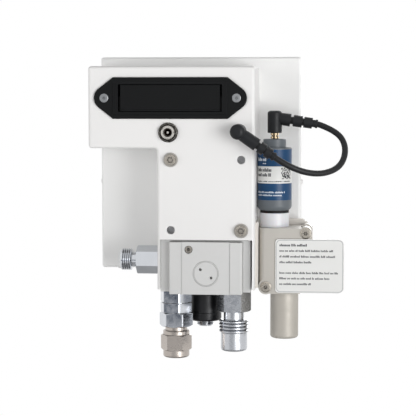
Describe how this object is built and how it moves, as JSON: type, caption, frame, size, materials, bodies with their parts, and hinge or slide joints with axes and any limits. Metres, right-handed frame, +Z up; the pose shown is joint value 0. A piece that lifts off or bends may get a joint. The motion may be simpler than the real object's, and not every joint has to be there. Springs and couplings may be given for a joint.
{
  "type": "air oxygen blender",
  "caption": "Wall or pole mounted medical gas mixer with concentration knob, gas fittings, battery drawer and an oxygen sensor on its flow block",
  "frame": {"origin": "centre of the square mounting pattern, on the rear cover's outer face", "axes": "+Z up, -Y out of the rear face towards the mounting rail, +X to the right when looking at the rear; the knob and display face +Y"},
  "size_m": [0.2356, 0.1663, 0.2767],
  "materials": {
    "white_paint": "fine textured white powder coat",
    "manifold_metal": "fine blasted, clear anodised",
    "warm_metal": "warm grey hard anodised",
    "raw_metal": "milled",
    "chromed": "bright chrome plate",
    "nickel": "satin nickel plate",
    "screw_steel": "stainless",
    "spring_steel": "drawn wire",
    "brass_parts": "turned",
    "gold_pin": "gold plated",
    "black_plastic": "fine moulded texture",
    "black_anodised": "satin black anodised",
    "rubber_black": "matte",
    "plug_rubber": "satin moulded",
    "cable_jacket": "satin extruded",
    "sensor_grey": "moulded",
    "sensor_wrap": "printed film",
    "bushing_white": "natural acetal",
    "plate_white": "printed film on aluminium",
    "window_clear": "clear",
    "display_dark": "glass and frame",
    "board_green": "solder mask",
    "keypad_film": "printed membrane",
    "dial_film": "printed",
    "knob_plastic": "moulded",
    "cap_plastic": "moulded",
    "cell_wrap": "foil wrap",
    "filter_bronze": "sintered"
  },
  "bodies": {
    "case": {"rear_cover": "white_paint", "main_housing": "white_paint", "front_panel": "white_paint", "housing_screws": "white_paint", "chassis_plate": "raw_metal", "display_window": "window_clear", "display_module": "display_dark", "circuit_board": "board_green", "board_screws": "screw_steel", "keypad_overlay": "keypad_film", "dial_plate": "dial_film", "valve_bonnet": "brass_parts", "valve_body": "raw_metal", "balance_springs": "spring_steel", "balance_cap": "brass_parts", "manifold_gasket": "rubber_black", "manifold_block": "manifold_metal", "manifold_plug": "manifold_metal", "manifold_screw": "screw_steel", "mounting_screws": "screw_steel", "mounting_washers": "screw_steel", "side_outlet": "chromed", "outlet_spring": "spring_steel", "air_inlet_body": "chromed", "air_inlet_nut": "chromed", "air_nipple": "nickel", "inlet_filters": "filter_bronze", "oxygen_inlet": "chromed", "bleed_outlet": "chromed", "bleed_retaining_ring": "spring_steel", "battery_bezel": "black_plastic", "bezel_screws": "screw_steel", "battery_contacts": "nickel", "dc_jack": "chromed", "dc_jack_nut": "black_anodised", "sensor_socket": "chromed", "sensor_bracket": "warm_metal", "bracket_screws": "screw_steel", "sensor_block": "warm_metal", "block_screws": "screw_steel", "label_plate": "plate_white", "flow_tube": "warm_metal", "sensor_bushing": "bushing_white", "sensor_seal_ring": "rubber_black", "oxygen_sensor": "sensor_grey", "sensor_label": "sensor_wrap", "plug_pins": "gold_pin", "sensor_plug": "plug_rubber", "housing_plug": "plug_rubber", "cable": "cable_jacket"},
    "knob": {"control_knob": "knob_plastic", "knob_cap": "cap_plastic", "knob_screw": "screw_steel", "valve_spindle": "brass_parts"},
    "drawer": {"battery_drawer": "black_plastic", "battery_cells": "cell_wrap"},
    "bleed_switch": {"bleed_collar": "black_anodised"},
    "swivel": {"air_swivel_nut": "nickel"},
    "check_poppet": {"outlet_poppet": "brass_parts"},
    "spool": {"balance_spool": "brass_parts"}
  },
  "joints": [
    {"name": "knob_turn", "type": "hinge", "parent": "case", "child": "knob", "pos_m": [-0.0117, 0.1, -0.02], "axis": [0, -1, 0], "range_deg": [0, 270]},
    {"name": "drawer_slide", "type": "slide", "parent": "case", "child": "drawer", "axis": [0, -1, 0], "range_m": [0, 0.054]},
    {"name": "bleed_slide", "type": "slide", "parent": "case", "child": "bleed_switch", "axis": [0, 0, 1], "range_m": [0, 0.006]},
    {"name": "swivel_turn", "type": "hinge", "parent": "case", "child": "swivel", "pos_m": [-0.0297, 0.025, -0.142], "axis": [0, 0, -1], "continuous": true},
    {"name": "poppet_slide", "type": "slide", "parent": "case", "child": "check_poppet", "axis": [1, 0, 0], "range_m": [0, 0.003], "stiffness_N_per_m": 600, "springref_m": -0.002, "deforming": ["outlet_spring"]},
    {"name": "spool_slide", "type": "slide", "parent": "case", "child": "spool", "axis": [0, 0, 1], "range_m": [-0.0012, 0.0012], "stiffness_N_per_m": 2000, "deforming": ["balance_springs"]}
  ]
}
